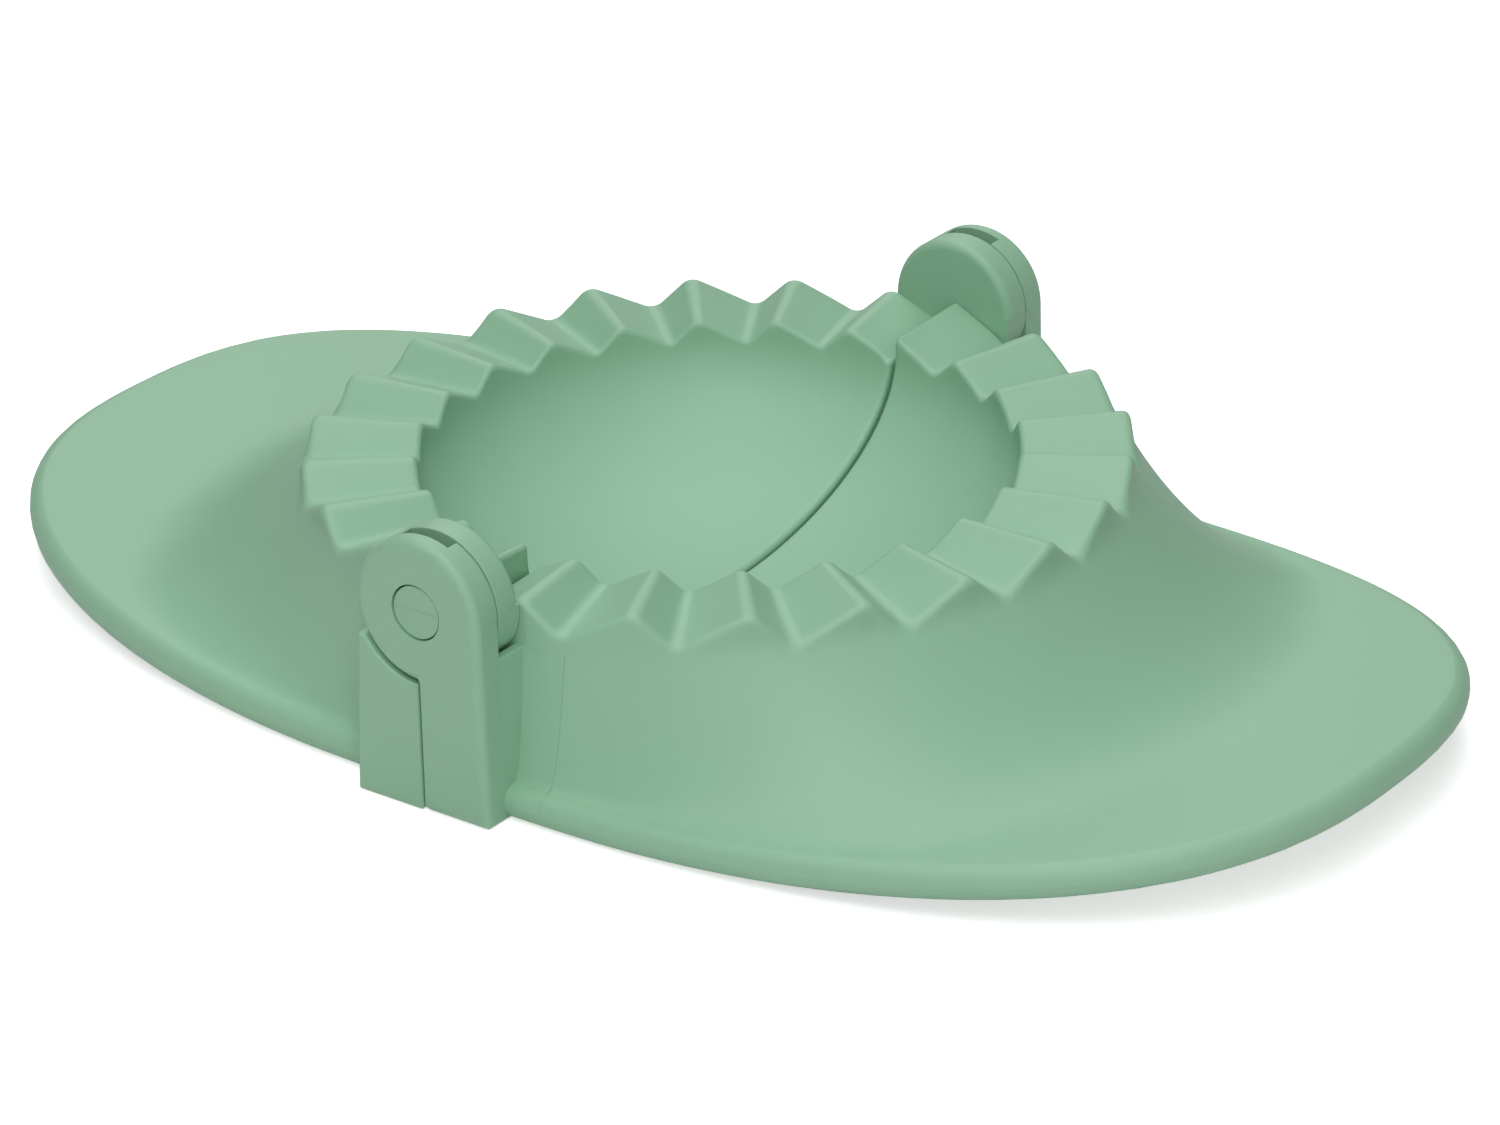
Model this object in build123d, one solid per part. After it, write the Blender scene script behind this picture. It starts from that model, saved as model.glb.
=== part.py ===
from build123d import *
import math
import os

# Empanada press, lying open on a table, in millimetres.
# X runs along both wings, Y runs along the hinge, Z is up, and z = 0 is the table.
# Two moulded halves meet at the plane x = 0 and turn about one hinge line.
# ear_half lies at x > 0 and carries the outer ears with their bores.
# pin_half lies at x < 0 and carries the inner lugs with their stub pins.

# Toothed rim
RIM_RADIUS = 50.0
TEETH_PER_HALF = 12
TOOTH_MIDDLE_Z = 24.1
TOOTH_HEIGHT = 4.2
TOOTH_ROUNDING = 1.4
GENTLE_SHARE = 0.65
SEAM_RIDGE_ANGLE = 1.0
SEAM_VALLEY_ANGLE = 0.2
RIM_THICKNESS = 2.2
RIM_EDGE_ROUNDING = 1.0
BOWL_EDGE_ROUNDING = 0.8

# Bowl
BOWL_RADIUS = 36.2
BOWL_DEPTH = 17.7
BOWL_TOP_Z = 23.7
BOWL_WALL = 2.2

# Wings, with a rounded outline whose tips rise off the table
WING_LENGTH = 94.8
WING_WIDTH = 54.0
OUTLINE_POWER = 2.57
TIP_RISE = 6.4
RISE_START = 17.6
RISE_POWER = 1.82
WING_WALL = 2.2
LIP_HEIGHT = 4.2
LIP_ROUNDING = 2.1
LIP_FLAT = 0.1
SHOULDER_SET_BACK = 0.3
SHOULDER_Z = 23.0
FLARE_WIDTH = 24.6
FLARE_POWER = 1.83
FLARE_BLEND_POWER = 6
SECTION_STEP_ANGLE = 7.5
POINTS_PER_SECTION = 14

# Walls that close the hollow under each wing at both ends of the seam
END_WALL = 2.2
END_WALL_BOTTOM_Z = 8.0
END_WALL_SET_BACK = 0.3

# Hinge
HINGE_Z = 25.2
EAR_FACE_Y = 57.25
EAR_THICKNESS = 3.9
LUG_THICKNESS = 3.8
HEAD_RADIUS = 8.8
EAR_EDGE_ROUNDING = 1.1
LUG_EDGE_ROUNDING = 1.1
LEG_EDGE_ROUNDING = 0.4
LUG_STEP = 0.1
PIN_RADIUS = 3.25
PIN_CLEARANCE = 0.08
PIN_RECESS = 0.05
PIN_SLANT = 0.35
PARTING_RISE = 0.4
GROOVE_DEPTH = 1.7
SIDE_GAP = 0.2
SWING_GAP = 0.4
SEAM_GAP = 0.5
EAR_LEG_FOOT_WIDTH = 9.2
PIN_LEG_FOOT_WIDTH = 9.85
PIN_LEG_HINGE_WIDTH = 8.55
SHELF_Z = 20.3
ROOT_DEPTH = 2.4

# Places that follow from the sizes above
SEAM_X = SEAM_GAP / 2
RIDGE_Z = TOOTH_MIDDLE_Z + TOOTH_HEIGHT / 2
VALLEY_Z = TOOTH_MIDDLE_Z - TOOTH_HEIGHT / 2
TOOTHED_ANGLE = 180 - SEAM_RIDGE_ANGLE - SEAM_VALLEY_ANGLE
PITCH_ANGLE = TOOTHED_ANGLE / (TEETH_PER_HALF - 1 + GENTLE_SHARE)
SHOULDER_RADIUS = RIM_RADIUS - SHOULDER_SET_BACK
LIP_FOOT_ROUNDING = min(WING_WALL, LIP_HEIGHT - LIP_ROUNDING) - LIP_FLAT
PARTING_Z = HINGE_Z + PARTING_RISE
EAR_INNER_Y = EAR_FACE_Y - EAR_THICKNESS
LUG_FACE_Y = EAR_INNER_Y - SIDE_GAP
LUG_INNER_Y = LUG_FACE_Y - LUG_THICKNESS
POCKET_INNER_Y = LUG_INNER_Y - SIDE_GAP
ROOT_Y = POCKET_INNER_Y - ROOT_DEPTH
BORE_RADIUS = PIN_RADIUS + PIN_CLEARANCE
POCKET_RADIUS = HEAD_RADIUS + SWING_GAP

# Room past the model that cutting solids reach into
SPARE = 5.0
SPARE_ANGLE = 4.0
CUT_TOP_Z = HINGE_Z + HEAD_RADIUS + SPARE


# ---------------------------------------------------------------- wing wall


def outline_radius(angle):
    """Distance from the centre to the wing's outline, at an angle from +X."""
    along = abs(math.cos(math.radians(angle))) / WING_LENGTH
    across = abs(math.sin(math.radians(angle))) / WING_WIDTH
    return (along**OUTLINE_POWER + across**OUTLINE_POWER) ** (-1 / OUTLINE_POWER)


def lift(r, angle):
    """Height of the lip's foot above the table."""
    x = abs(r * math.cos(math.radians(angle)))
    run = max(0.0, x - RISE_START) / (WING_LENGTH - RISE_START)
    return TIP_RISE * run**RISE_POWER


def flare_point(angle, share):
    """Point (r, z) on the wing's top, from the shoulder (share 0) to the lip (share 1)."""
    reach = outline_radius(angle) - LIP_ROUNDING - SHOULDER_RADIUS
    narrow = reach**-FLARE_BLEND_POWER + FLARE_WIDTH**-FLARE_BLEND_POWER
    flare = narrow ** (-1 / FLARE_BLEND_POWER)
    r = SHOULDER_RADIUS + reach * share
    floor_z = lift(r, angle) + LIP_HEIGHT
    left = max(0.0, 1 - reach * share / flare)
    return r, floor_z + (SHOULDER_Z - floor_z) * left**FLARE_POWER


def under_point(angle, share):
    """Point one wall below flare_point, square to the surface."""
    step = 0.002
    r0, z0 = flare_point(angle, max(0.0, share - step))
    r1, z1 = flare_point(angle, min(1.0, share + step))
    r, z = flare_point(angle, share)
    run = math.hypot(r1 - r0, z1 - z0)
    return r + WING_WALL * (z1 - z0) / run, z - WING_WALL * (r1 - r0) / run


def wing_section(angle):
    """Closed outline of the wing wall on the upright plane at this angle."""
    east = math.cos(math.radians(angle))
    north = math.sin(math.radians(angle))
    shares = [i / (POINTS_PER_SECTION - 1) for i in range(POINTS_PER_SECTION)]
    top = [flare_point(angle, share) for share in shares]
    under = [under_point(angle, share) for share in reversed(shares)]
    lip_r = outline_radius(angle)
    lip_z = top[-1][1]
    foot_z = lip_z - LIP_HEIGHT
    bend = 1 - math.sqrt(0.5)

    shoulder, below = top[0], top[1]
    slope = (shoulder[0] - below[0]) / (shoulder[1] - below[1])
    crown = (shoulder[0] + slope * (RIDGE_Z - shoulder[1]), RIDGE_Z)
    under_crown = (under[-1][0] + slope * (RIDGE_Z - under[-1][1]), RIDGE_Z)

    lip_middle = (lip_r - LIP_ROUNDING * bend, lip_z - LIP_ROUNDING * bend)
    lip_side = (lip_r, lip_z - LIP_ROUNDING)
    foot_side = (lip_r, foot_z + LIP_FOOT_ROUNDING)
    foot_middle = (lip_r - LIP_FOOT_ROUNDING * bend, foot_z + LIP_FOOT_ROUNDING * bend)
    foot_end = (lip_r - LIP_FOOT_ROUNDING, foot_z)
    foot_inner = (lip_r - WING_WALL, foot_z)

    def at(point):
        return Vector(point[0] * east, point[0] * north, point[1])

    return Wire(
        [
            Edge.make_line(at(crown), at(shoulder)),
            Edge.make_spline([at(p) for p in top], parameters=shares),
            Edge.make_three_point_arc(at(top[-1]), at(lip_middle), at(lip_side)),
            Edge.make_line(at(lip_side), at(foot_side)),
            Edge.make_three_point_arc(at(foot_side), at(foot_middle), at(foot_end)),
            Edge.make_line(at(foot_end), at(foot_inner)),
            Edge.make_line(at(foot_inner), at(under[0])),
            Edge.make_spline([at(p) for p in under], parameters=shares),
            Edge.make_line(at(under[-1]), at(under_crown)),
            Edge.make_line(at(under_crown), at(crown)),
        ]
    )


def wing():
    """Wall of one half, from the height of the ridges out to the rolled lip."""
    steps = 2 * math.ceil(90 / SECTION_STEP_ANGLE + 0.5)
    first_angle = -SECTION_STEP_ANGLE * steps / 2
    angles = [first_angle + SECTION_STEP_ANGLE * i for i in range(steps + 1)]
    return Part() + Solid.make_loft([wing_section(angle) for angle in angles])


# ---------------------------------------------------------- bowl and teeth


def bowl_blank():
    """Whole round bowl and a thick uncut rim, turned as one solid."""
    inside = Ellipse(BOWL_RADIUS, BOWL_DEPTH)
    outside = Ellipse(BOWL_RADIUS + BOWL_WALL, BOWL_DEPTH + BOWL_WALL)
    lower_right = Rectangle(RIM_RADIUS, RIM_RADIUS, align=(Align.MIN, Align.MAX))
    wall = Pos(0, BOWL_TOP_Z) * ((outside - inside) & lower_right)
    ring_bottom_z = VALLEY_Z - RIM_THICKNESS - SPARE
    ring_size = (RIM_RADIUS - BOWL_RADIUS, CUT_TOP_Z - ring_bottom_z)
    ring = Pos(BOWL_RADIUS, ring_bottom_z) * Rectangle(*ring_size, align=Align.MIN)
    ring -= Pos(0, BOWL_TOP_Z) * (inside & lower_right)
    return revolve(Plane.XZ * (wall + ring), Axis.Z, 360)


def tooth_corners():
    """Corners (angle clockwise from +Y, height) along the teeth of the half at x > 0."""
    corners = []
    for tooth in range(TEETH_PER_HALF):
        ridge_angle = SEAM_RIDGE_ANGLE + PITCH_ANGLE * tooth
        corners.append((ridge_angle, RIDGE_Z))
        corners.append((ridge_angle + PITCH_ANGLE * GENTLE_SHARE, VALLEY_Z))
    return corners


def tapered(z, distance):
    """Height, at a distance from the axis, of a line that has the height z at the rim."""
    return TOOTH_MIDDLE_Z + (z - TOOTH_MIDDLE_Z) * distance / RIM_RADIUS


def tooth_wedge(corners, shift, end_z):
    """Solid between the height end_z and the teeth, which are moved up by shift."""
    middle = (corners[0][0] + corners[-1][0]) / 2
    direction = math.radians(90 - middle)
    outward = Vector(math.cos(direction), math.sin(direction), 0)
    sideways = Vector(-math.sin(direction), math.cos(direction), 0)
    faces = []
    for distance in (BOWL_RADIUS - SPARE, RIM_RADIUS + SPARE):
        points = []
        for angle, z in corners:
            sideways_at = distance * math.tan(math.radians(middle - angle))
            points.append((sideways_at, tapered(z, distance) + shift))
        first, last = points[0], points[-1]
        teeth = FilletPolyline(*points, radius=TOOTH_ROUNDING * distance / RIM_RADIUS)
        closing = Polyline(last, (last[0], end_z), (first[0], end_z), first)
        plane = Plane(origin=outward * distance, x_dir=sideways, z_dir=outward)
        faces.append(plane * make_face(teeth.edges() + closing.edges()))
    return loft(faces, ruled=True)


def tooth_field(shift, end_z):
    """Wedges of all the teeth of the half at x > 0, joined into one solid."""
    corners = tooth_corners()
    wedges = []
    run = [(-SPARE_ANGLE, RIDGE_Z)]
    for ridge, valley in zip(corners[::2], corners[1::2]):
        half_way = ((ridge[0] + valley[0]) / 2, (ridge[1] + valley[1]) / 2)
        wedges.append(tooth_wedge(run + [ridge, half_way], shift, end_z))
        run = [half_way, valley]
    wedges.append(tooth_wedge(run + [(180 + SPARE_ANGLE, VALLEY_Z)], shift, end_z))
    return Part() + wedges


def tooth_height(point):
    """Height of the unrounded teeth at a point on the rim of the half at x > 0."""
    turn = 90 - math.degrees(math.atan2(point.Y, point.X))
    turn = (turn + 90) % 360 - 90
    distance = math.hypot(point.X, point.Y)
    corners = [(-90, RIDGE_Z), *tooth_corners(), (270, VALLEY_Z)]
    for (angle, z), (next_angle, next_z) in zip(corners, corners[1:]):
        if turn <= next_angle:
            height = z + (next_z - z) * (turn - angle) / (next_angle - angle)
            return tapered(height, distance)
    return tapered(VALLEY_Z, distance)


def rim_edges(plate, radius):
    """Edges of the plate that run along the tops of the teeth at this radius."""
    found = []
    for edge in plate.edges():
        start, middle, end = (edge.position_at(share) for share in (0, 0.5, 1))
        at_radius = all(abs(math.hypot(p.X, p.Y) - radius) < 0.05 for p in (start, middle, end))
        on_top = abs(middle.Z - tooth_height(middle)) < RIM_THICKNESS / 2
        level_run = math.hypot(end.X - start.X, end.Y - start.Y)
        if at_radius and on_top and level_run > 0.01:
            found.append(edge)
    return found


def bowl_and_rim():
    """Bowl and toothed rim of the half at x > 0, reaching a little past the seam."""
    bowl_wall = extrude(Circle(BOWL_RADIUS + BOWL_WALL), CUT_TOP_Z)
    body = bowl_blank() & seam_side(-BOWL_RADIUS * math.sin(math.radians(SPARE_ANGLE)))
    body -= tooth_field(0, CUT_TOP_Z + SPARE)
    body -= tooth_field(-RIM_THICKNESS, 0) - bowl_wall
    body = fillet(rim_edges(body, RIM_RADIUS), RIM_EDGE_ROUNDING)
    return fillet(rim_edges(body, BOWL_RADIUS), BOWL_EDGE_ROUNDING)


def seam_side(x):
    """All the room to the right of the upright plane at x."""
    width = 2 * (WING_LENGTH + SPARE)
    return Pos(x, 0, -SPARE) * Box(width, width, width, align=(Align.MIN, Align.CENTER, Align.MIN))


def both_ends(solid):
    """The same solid at both ends of the hinge line."""
    return solid + mirror(solid, Plane.XZ)


def end_wall():
    """Wall along the seam from the bowl out to the wing, at +Y."""
    size = (SHOULDER_RADIUS - END_WALL_SET_BACK, RIDGE_Z - END_WALL_BOTTOM_Z)
    outline = Pos(0, END_WALL_BOTTOM_Z) * Rectangle(*size, align=Align.MIN)
    outline -= Pos(0, BOWL_TOP_Z) * Ellipse(BOWL_RADIUS + BOWL_WALL / 2, BOWL_DEPTH + BOWL_WALL / 2)
    return extrude(Plane.YZ * outline, SEAM_X + END_WALL)


def half_shell():
    """Rim, bowl, wing and end walls of the half at x > 0, cut at the seam."""
    walls = wing() + both_ends(end_wall())
    shell = bowl_and_rim() + (walls - tooth_field(-RIM_THICKNESS / 2, CUT_TOP_Z + SPARE))
    return shell & seam_side(SEAM_X)


# ------------------------------------------------------------------- hinge
# The hinge parts are made at +Y and mirrored to -Y.


def slab(outline, near_y, far_y):
    """Solid with an X-Z outline that reaches from near_y out to far_y."""
    return extrude(Plane.XZ.offset(-far_y) * outline, far_y - near_y)


def head_disc(radius):
    """X-Z outline of a disc about the hinge line."""
    return Pos(0, HINGE_Z) * Circle(radius)


def room(x_from, x_to, z_from, z_to):
    """X-Z outline of an upright rectangle."""
    return Pos(x_from, z_from) * Rectangle(x_to - x_from, z_to - z_from, align=Align.MIN)


def leg(foot_x, hinge_x, top_z):
    """X-Z outline of a leg up to top_z, leaning from foot_x at its foot towards hinge_x at the hinge."""
    seam_x = math.copysign(SEAM_X, foot_x)
    top_x = foot_x + (hinge_x - foot_x) * top_z / HINGE_Z
    return make_face(Polyline((seam_x, 0), (foot_x, 0), (top_x, top_z), (seam_x, top_z), close=True))


def ear_leg(top_z):
    """X-Z outline of the leg below the ear, up to top_z."""
    return leg(EAR_LEG_FOOT_WIDTH, HEAD_RADIUS, top_z)


def pin_leg(top_z):
    """X-Z outline of the leg below the lug, up to top_z."""
    return leg(-PIN_LEG_FOOT_WIDTH, -PIN_LEG_HINGE_WIDTH, top_z)


def outer_edges(body):
    """Edges round the body's outermost face along the hinge line."""
    return body.faces().sort_by(Axis.Y)[-1].edges()


def ear():
    """Ear with its bore and the lead-in groove for the pin, and the leg below it."""
    body = slab(head_disc(HEAD_RADIUS) + ear_leg(HINGE_Z), EAR_INNER_Y, EAR_FACE_Y)
    body += slab(ear_leg(SHELF_Z), ROOT_Y, EAR_INNER_Y) - lug_pocket()
    seam_edge = outer_edges(body).sort_by(lambda edge: abs(edge.center().X - SEAM_X))[0]
    other_edges = [edge for edge in outer_edges(body) if not edge.is_same(seam_edge)]
    body = fillet(other_edges, EAR_EDGE_ROUNDING)
    body -= slab(head_disc(BORE_RADIUS), EAR_INNER_Y - SPARE, EAR_FACE_Y + SPARE)
    groove = room(-BORE_RADIUS, BORE_RADIUS, HINGE_Z, CUT_TOP_Z)
    body -= slab(groove, EAR_INNER_Y - SPARE, EAR_INNER_Y + GROOVE_DEPTH)
    return body


def lug_pocket():
    """Room that the other half's lug turns in, with a round bottom between two shelves."""
    outline = room(-POCKET_RADIUS, POCKET_RADIUS, SHELF_Z, CUT_TOP_Z) + head_disc(POCKET_RADIUS)
    return slab(outline, POCKET_INNER_Y, EAR_INNER_Y)


def stub_pin():
    """Pin whose end slants away below the parting line just above its middle."""
    end_y = EAR_FACE_Y - PIN_RECESS
    bottom_z = HINGE_Z - PIN_RADIUS
    corners = [(end_y, PARTING_Z), (end_y - PIN_SLANT, bottom_z), (end_y, bottom_z)]
    slant = Plane.YZ * make_face(Polyline(*corners, close=True))
    return slab(head_disc(PIN_RADIUS), LUG_INNER_Y, end_y) - extrude(slant, PIN_RADIUS, both=True)


def lug_disc():
    """Round lug, whose lower right quarter has a sharp edge and lies one step lower."""
    quarter = room(0, HEAD_RADIUS, HINGE_Z - HEAD_RADIUS, PARTING_Z)
    disc = slab(head_disc(HEAD_RADIUS), LUG_INNER_Y, LUG_FACE_Y)
    disc = fillet(disc.faces().sort_by(Axis.Y)[0].edges(), LUG_EDGE_ROUNDING)
    disc -= slab(quarter, LUG_INNER_Y, LUG_FACE_Y)
    return disc + slab(quarter & head_disc(HEAD_RADIUS - LUG_STEP), LUG_INNER_Y, LUG_FACE_Y)


def lug():
    """Lug with its stub pin, and the leg below it."""
    body = slab(pin_leg(SHELF_Z), LUG_INNER_Y, EAR_FACE_Y)
    body -= slab(head_disc(POCKET_RADIUS), LUG_FACE_Y, EAR_FACE_Y + SPARE)
    body = fillet(outer_edges(body), LEG_EDGE_ROUNDING)
    body += lug_disc() + slab(pin_leg(VALLEY_Z - RIM_THICKNESS / 2), ROOT_Y, LUG_INNER_Y)
    return body + stub_pin()


def ear_half(shell):
    """Half at x > 0, with the two outer ears."""
    return shell - both_ends(lug_pocket()) + both_ends(ear())


def pin_half(shell):
    """Half at x < 0, with the two inner lugs and their pins."""
    return Rot(0, 0, 180) * shell + both_ends(lug())


if __name__ == "__main__":
    os.makedirs("parts", exist_ok=True)
    half = half_shell()
    export_step(ear_half(half), "parts/ear_half.step")
    export_step(pin_half(half), "parts/pin_half.step")
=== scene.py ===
import math

import bmesh
import bpy
import numpy as np
from mathutils import Matrix, Vector


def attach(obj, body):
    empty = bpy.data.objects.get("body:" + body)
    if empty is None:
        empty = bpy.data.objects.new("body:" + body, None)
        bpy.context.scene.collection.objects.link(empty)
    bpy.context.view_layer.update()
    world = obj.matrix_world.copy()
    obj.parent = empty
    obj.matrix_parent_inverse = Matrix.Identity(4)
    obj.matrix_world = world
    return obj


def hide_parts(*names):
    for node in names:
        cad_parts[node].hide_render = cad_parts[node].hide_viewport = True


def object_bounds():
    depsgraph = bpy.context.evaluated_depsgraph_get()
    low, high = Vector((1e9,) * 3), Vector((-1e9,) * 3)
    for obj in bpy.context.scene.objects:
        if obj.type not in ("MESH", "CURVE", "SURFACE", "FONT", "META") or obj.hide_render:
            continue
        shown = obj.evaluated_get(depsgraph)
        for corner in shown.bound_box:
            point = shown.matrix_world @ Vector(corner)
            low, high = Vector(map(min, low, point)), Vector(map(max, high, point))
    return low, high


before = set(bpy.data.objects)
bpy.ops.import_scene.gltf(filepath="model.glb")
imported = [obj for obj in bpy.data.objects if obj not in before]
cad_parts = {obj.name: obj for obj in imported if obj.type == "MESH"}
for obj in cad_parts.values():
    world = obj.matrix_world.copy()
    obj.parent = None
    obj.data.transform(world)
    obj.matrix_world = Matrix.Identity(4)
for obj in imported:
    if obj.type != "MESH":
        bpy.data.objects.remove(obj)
cad_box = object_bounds()

# Lengths are in millimetres until a mesh is made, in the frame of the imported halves.
MM = 0.001

# Toothed rim
RIM_RADIUS = 50.0
TEETH_PER_HALF = 12
TOOTH_MIDDLE_Z = 24.1
TOOTH_HEIGHT = 4.2
TOOTH_ROUNDING = 2.0
GENTLE_SHARE = 0.65
SEAM_RIDGE_ANGLE = 1.0
SEAM_VALLEY_ANGLE = 0.2
RIM_THICKNESS = 2.2
RIM_EDGE_ROUNDING = 1.0

# Bowl
BOWL_RADIUS = 36.2
BOWL_DEPTH = 17.7
BOWL_TOP_Z = 23.7
BOWL_WALL = 2.2
BOWL_EDGE_ROUNDING = 0.8

# Wings
WING_LENGTH = 94.8
WING_WIDTH = 54.0
OUTLINE_POWER = 2.57
TIP_RISE = 6.4
RISE_START = 17.6
RISE_POWER = 1.82
WING_WALL = 2.2
LIP_HEIGHT = 4.2
LIP_ROUNDING = 2.1
LIP_FLAT = 0.1
SHOULDER_SET_BACK = 0.3
SHOULDER_Z = 23.0
FLARE_WIDTH = 24.6
FLARE_POWER = 1.83
FLARE_BLEND_POWER = 6

# Walls that close the hollow under each wing at both ends of the seam. Each reaches up into the rim, to
# its own share of the rim's thickness below the rim's top.
END_WALL = 2.2
END_WALL_BOTTOM_Z = 8.0
END_WALL_SET_BACK = 0.3
BACK_WALL_SINK = 0.8
FRONT_WALL_SINK = 0.25

# Hinge
HINGE_Z = 25.2
EAR_FACE_Y = 57.25
EAR_THICKNESS = 3.9
LUG_THICKNESS = 3.8
HEAD_RADIUS = 8.8
PIN_RADIUS = 3.25
PIN_CLEARANCE = 0.08
PIN_RECESS = 0.05
PIN_SLANT = 0.35
PARTING_RISE = 0.4
LUG_STEP = 0.1
GROOVE_DEPTH = 1.7
SIDE_GAP = 0.2
SWING_GAP = 0.4
SEAM_GAP = 0.5
EAR_LEG_FOOT_WIDTH = 9.2
PIN_LEG_FOOT_WIDTH = 9.85
PIN_LEG_HINGE_WIDTH = 8.55
SHELF_Z = 20.3
ROOT_DEPTH = 2.4

# Roundings of moulded edges that only show close up
SEAM_ROUNDING = 0.7
EAR_ROUNDING = 1.1
LEG_ROUNDING = 0.4
FINE_ROUNDING = 0.2
FOOT_CORNER_ROUNDING = 1.0
SEAM_CORNER_ROUNDING = 0.5
PIN_STEP = 0.1
SHOWN_BORE_RADIUS = 3.45  # the dark ring round the pin is wider in the photo than the clearance

# Raised line that the edge of a mould insert leaves beside the front leg
LINE_X = 14.0
LINE_Z = 20.0
LINE_BOTTOM_Z = 1.2
LINE_HEIGHT = 0.08
LINE_WIDTH = 0.16

# How far a joined piece stands proud, so that no two faces share a plane
PROUD = 0.002

# How far a cutting solid reaches past what it cuts
SPARE = 5.0

# Fineness of the meshes
ARC_STEPS = 6
SEAM_STEPS = 4
FACET_LENGTH = 2.2
LEAST_STEP = 0.03
MERGE_DISTANCE = 0.0002
ON_PLANE = 0.01
SHARP_ANGLE = 32
LEAST_NORMAL = 0.5
SEARCH_ROUNDS = 6

# Steps across each rounding of the hinge's edges
EAR_STEPS = 6
LEG_STEPS = 4
OPEN_EDGE_STEPS = 3
INNER_EDGE_STEPS = 2

# Rows of points along each stretch of a half's section, and samples along the wing's top
BOWL_ROWS = 28
BOWL_EDGE_ROWS = 6
FLAT_ROWS = 7
WALL_ROWS = 28
LIP_ROWS = 10
FOOT_ROWS = 5
UNDERSIDE_ROWS = 26
OUTER_BOWL_ROWS = 24
INSIDE_SAMPLES = 60
OUTSIDE_SAMPLES = 200

# Points along the arcs and lines of the hinge
CIRCLE_POINTS = 96
EAR_POINTS = 72
POCKET_POINTS = 60
HOLLOW_POINTS = 28
QUARTER_POINTS = 48
CORNER_POINTS = 9
END_WALL_POINTS = 40
UPRIGHT_LINE_POINTS = 40
LEVEL_LINE_POINTS = 14

# Rows of points over the rim's outer edge, as lengths from its corner. A moving average rounds the edge,
# and its half width is this many times the rounding.
AVERAGE_SHARE = 1.17
SIDE_REACH = 3.0
SIDE_STEP = 0.05
NEAR_ROWS = (-1.5, -1.2, -0.9, -0.6, -0.3, 0.0, 0.3, 0.6, 0.9, 1.2)
FAR_ROWS = (1.6, 2.1, 2.6, 3.1, 3.6, 4.1, 4.7, 5.4)

# Surface, with its grain in millimetres
SAGE_GREEN = "#98C5A5"
SKIN_ROUGHNESS = 0.48
PLASTIC_IOR = 1.49
GRAIN_SIZE = 0.35
GRAIN_DEPTH = 0.02
GRAIN_STRENGTH = 0.25
GRAIN_DETAIL = 2.0
GRAIN_FALL = 0.6

# Camera
CAMERA_AZIMUTH = 36.75
CAMERA_ELEVATION = 25.46
CAMERA_ROLL = -1.04
CAMERA_DISTANCE = 688.9
CAMERA_TARGET = (-8.40, 17.08, 0.0)
SENSOR_WIDTH = 36.0
CAMERA_LENS = 132.36

# Studio: each lamp has its azimuth from the camera, its elevation and its power in watts. The top lamp
# stops just short of upright, where its azimuth would have no meaning.
WHITE = (1, 1, 1, 1)
PAPER_WHITE = (0.9, 0.9, 0.9, 1)
FLOOR_GLOW = 0.6
FLOOR_SIZE = 6000
FLOOR_DROP = 0.02
LAMP_DISTANCE = 1100
LAMP_SIZE = 700
LAMPS = {
    "front": (0, 25, 2.4),
    "front_right": (60, 25, 0.5),
    "back": (180, 25, 1.25),
    "high_left": (-60, 58, 1.75),
    "high_front": (0, 58, 3.3),
    "high_back": (180, 58, 2.7),
    "top": (0, 89.9, 2.65),
}

# Places that follow from the sizes above; the bowl's columns fan out from a short line at FAN_X
SEAM_X = SEAM_GAP / 2
FAN_X = SEAM_X + SEAM_ROUNDING
RIDGE_Z = TOOTH_MIDDLE_Z + TOOTH_HEIGHT / 2
VALLEY_Z = TOOTH_MIDDLE_Z - TOOTH_HEIGHT / 2
TOOTHED_ANGLE = 180 - SEAM_RIDGE_ANGLE - SEAM_VALLEY_ANGLE
PITCH_ANGLE = TOOTHED_ANGLE / (TEETH_PER_HALF - 1 + GENTLE_SHARE)
SHOULDER_RADIUS = RIM_RADIUS - SHOULDER_SET_BACK
LIP_FOOT_ROUNDING = min(WING_WALL, LIP_HEIGHT - LIP_ROUNDING) - LIP_FLAT
PARTING_Z = HINGE_Z + PARTING_RISE
EAR_INNER_Y = EAR_FACE_Y - EAR_THICKNESS
LUG_FACE_Y = EAR_INNER_Y - SIDE_GAP
LUG_INNER_Y = LUG_FACE_Y - LUG_THICKNESS
POCKET_INNER_Y = LUG_INNER_Y - SIDE_GAP
ROOT_Y = POCKET_INNER_Y - ROOT_DEPTH
BORE_RADIUS = PIN_RADIUS + PIN_CLEARANCE
POCKET_RADIUS = HEAD_RADIUS + SWING_GAP


# ---------------------------------------------------------------- teeth


def arc_points(before, corner, after, radius, count):
    """Points of the arc that rounds a corner between two straight lines."""
    a = (before - corner) / np.linalg.norm(before - corner)
    b = (after - corner) / np.linalg.norm(after - corner)
    half_angle = math.acos(np.clip(a @ b, -1, 1)) / 2
    middle = (a + b) / np.linalg.norm(a + b)
    centre = corner + middle * radius / math.sin(half_angle)
    start = corner + a * radius / math.tan(half_angle) - centre
    end = corner + b * radius / math.tan(half_angle) - centre
    turn = math.atan2(start[0] * end[1] - start[1] * end[0], start @ end)
    angles = np.linspace(0, turn, count)
    c, s = np.cos(angles), np.sin(angles)
    return centre + np.stack([c * start[0] - s * start[1], s * start[0] + c * start[1]], 1)


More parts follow.
